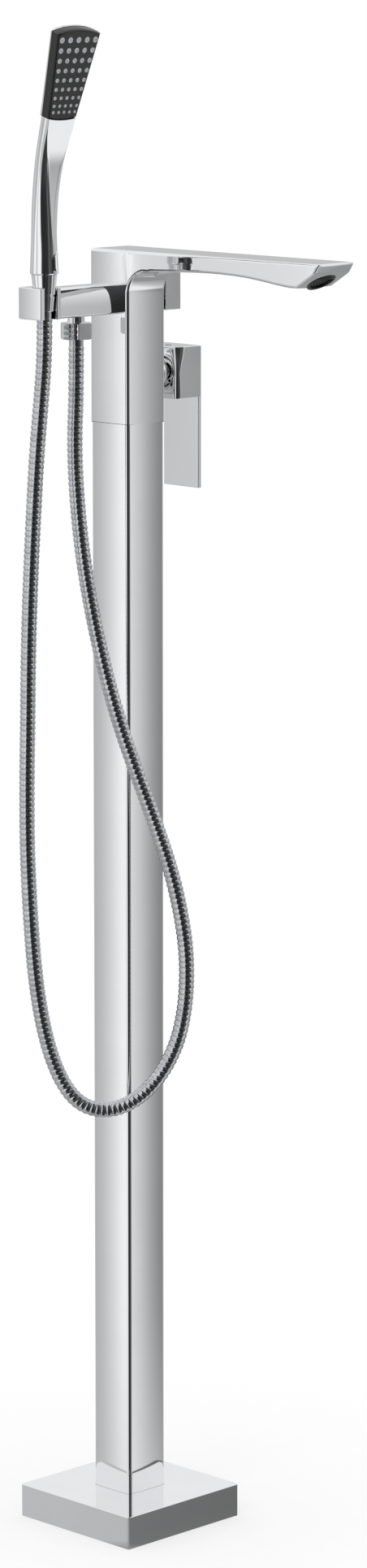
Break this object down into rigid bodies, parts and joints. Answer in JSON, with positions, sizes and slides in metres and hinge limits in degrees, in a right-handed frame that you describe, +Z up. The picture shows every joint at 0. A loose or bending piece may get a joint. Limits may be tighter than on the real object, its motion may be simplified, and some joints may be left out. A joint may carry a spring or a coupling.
{
  "type": "floor standing bath filler",
  "caption": "Free-standing square-column bath filler with flat spout, side lever, diverter knob and a stick hand shower on a side arm.",
  "frame": {"origin": "on the floor, at the centre of the floor plate's bolt pattern, under the column's axis", "axes": "+Z up along the column, +X along the spout, +Y towards the lever, so the hand shower's arm is on -Y"},
  "size_m": [0.2821, 0.1758, 1.1809],
  "materials": {
    "chrome": "polished",
    "steel": "plain",
    "hose_metal": "ribbed, polished",
    "copper": "drawn pipe",
    "brass": "machined",
    "rubber": "soft",
    "nozzle_rubber": "soft, grey",
    "black_plastic": "satin",
    "ceramic": "lapped"
  },
  "bodies": {
    "stand": {"floor_plate": "steel", "column_tube": "chrome", "column_spigot": "steel", "column_grub_screw_1": "steel", "column_grub_screw_2": "steel", "riser_pipe_hot": "copper", "riser_seal_hot": "rubber", "riser_pipe_cold": "copper", "riser_seal_cold": "rubber", "mixer_body": "chrome", "body_gasket": "rubber", "aerator_housing": "chrome", "aerator_insert": "black_plastic", "aerator_gasket": "rubber", "cartridge_base_seal": "rubber", "ceramic_fixed_disc": "ceramic", "cartridge_shell": "black_plastic", "cartridge_nut": "brass", "lever_dome": "chrome", "diverter_insert": "brass", "shower_arm": "chrome", "arm_nipple": "brass", "hose_outlet": "chrome", "check_valve": "black_plastic", "hose_nut_outlet": "chrome", "hose_washer_outlet": "rubber", "shower_hose": "hose_metal"},
    "cover": {"base_cover": "chrome"},
    "ceramic_slider": {"ceramic_sliding_disc": "ceramic"},
    "lever_turner": {"cartridge_carrier": "black_plastic", "lever_pin": "steel"},
    "lever": {"lever_stem": "brass", "lever_handle": "chrome", "lever_grub_screw": "steel", "lever_plug": "black_plastic"},
    "diverter": {"diverter_spindle": "brass", "diverter_knob": "chrome", "knob_grub_screw": "steel"},
    "hand_nut": {"hose_nut_hand": "chrome", "filter_washer_hand": "rubber"},
    "hand_shower": {"hand_shower_shell": "chrome", "hand_face_plate": "black_plastic", "hand_nozzle_mat": "nozzle_rubber"}
  },
  "joints": [
    {"name": "cover_lift", "type": "slide", "parent": "stand", "child": "cover", "axis": [0, 0, 1], "range_m": [0, 0.1]},
    {"name": "lever_turn", "type": "hinge", "parent": "stand", "child": "lever_turner", "pos_m": [0, 0.014, 0.9117], "axis": [0, 1, 0], "range_deg": [-45, 45]},
    {"name": "lever_lift", "type": "hinge", "parent": "lever_turner", "child": "lever", "pos_m": [0, 0.014, 0.9117], "axis": [1, 0, 0], "range_deg": [0, 20]},
    {"name": "disc_slide", "type": "slide", "parent": "lever_turner", "child": "ceramic_slider", "axis": [0, 0, -1], "range_m": [0, 0.0036]},
    {"name": "diverter_turn", "type": "hinge", "parent": "stand", "child": "diverter", "pos_m": [0, 0.03, 0.981], "axis": [0, 1, 0], "range_deg": [0, 90]},
    {"name": "hand_lift", "type": "slide", "parent": "stand", "child": "hand_nut", "axis": [0, 0, 1], "range_m": [0, 0.06]},
    {"name": "hand_turn", "type": "hinge", "parent": "hand_nut", "child": "hand_shower", "pos_m": [0.005, -0.0924, 0.99], "axis": [0, 0, 1], "range_deg": [-90, 90]}
  ],
  "couplings": [
    {"joint": "disc_slide", "follows": "lever_lift", "m_per_rad": 0.01}
  ]
}
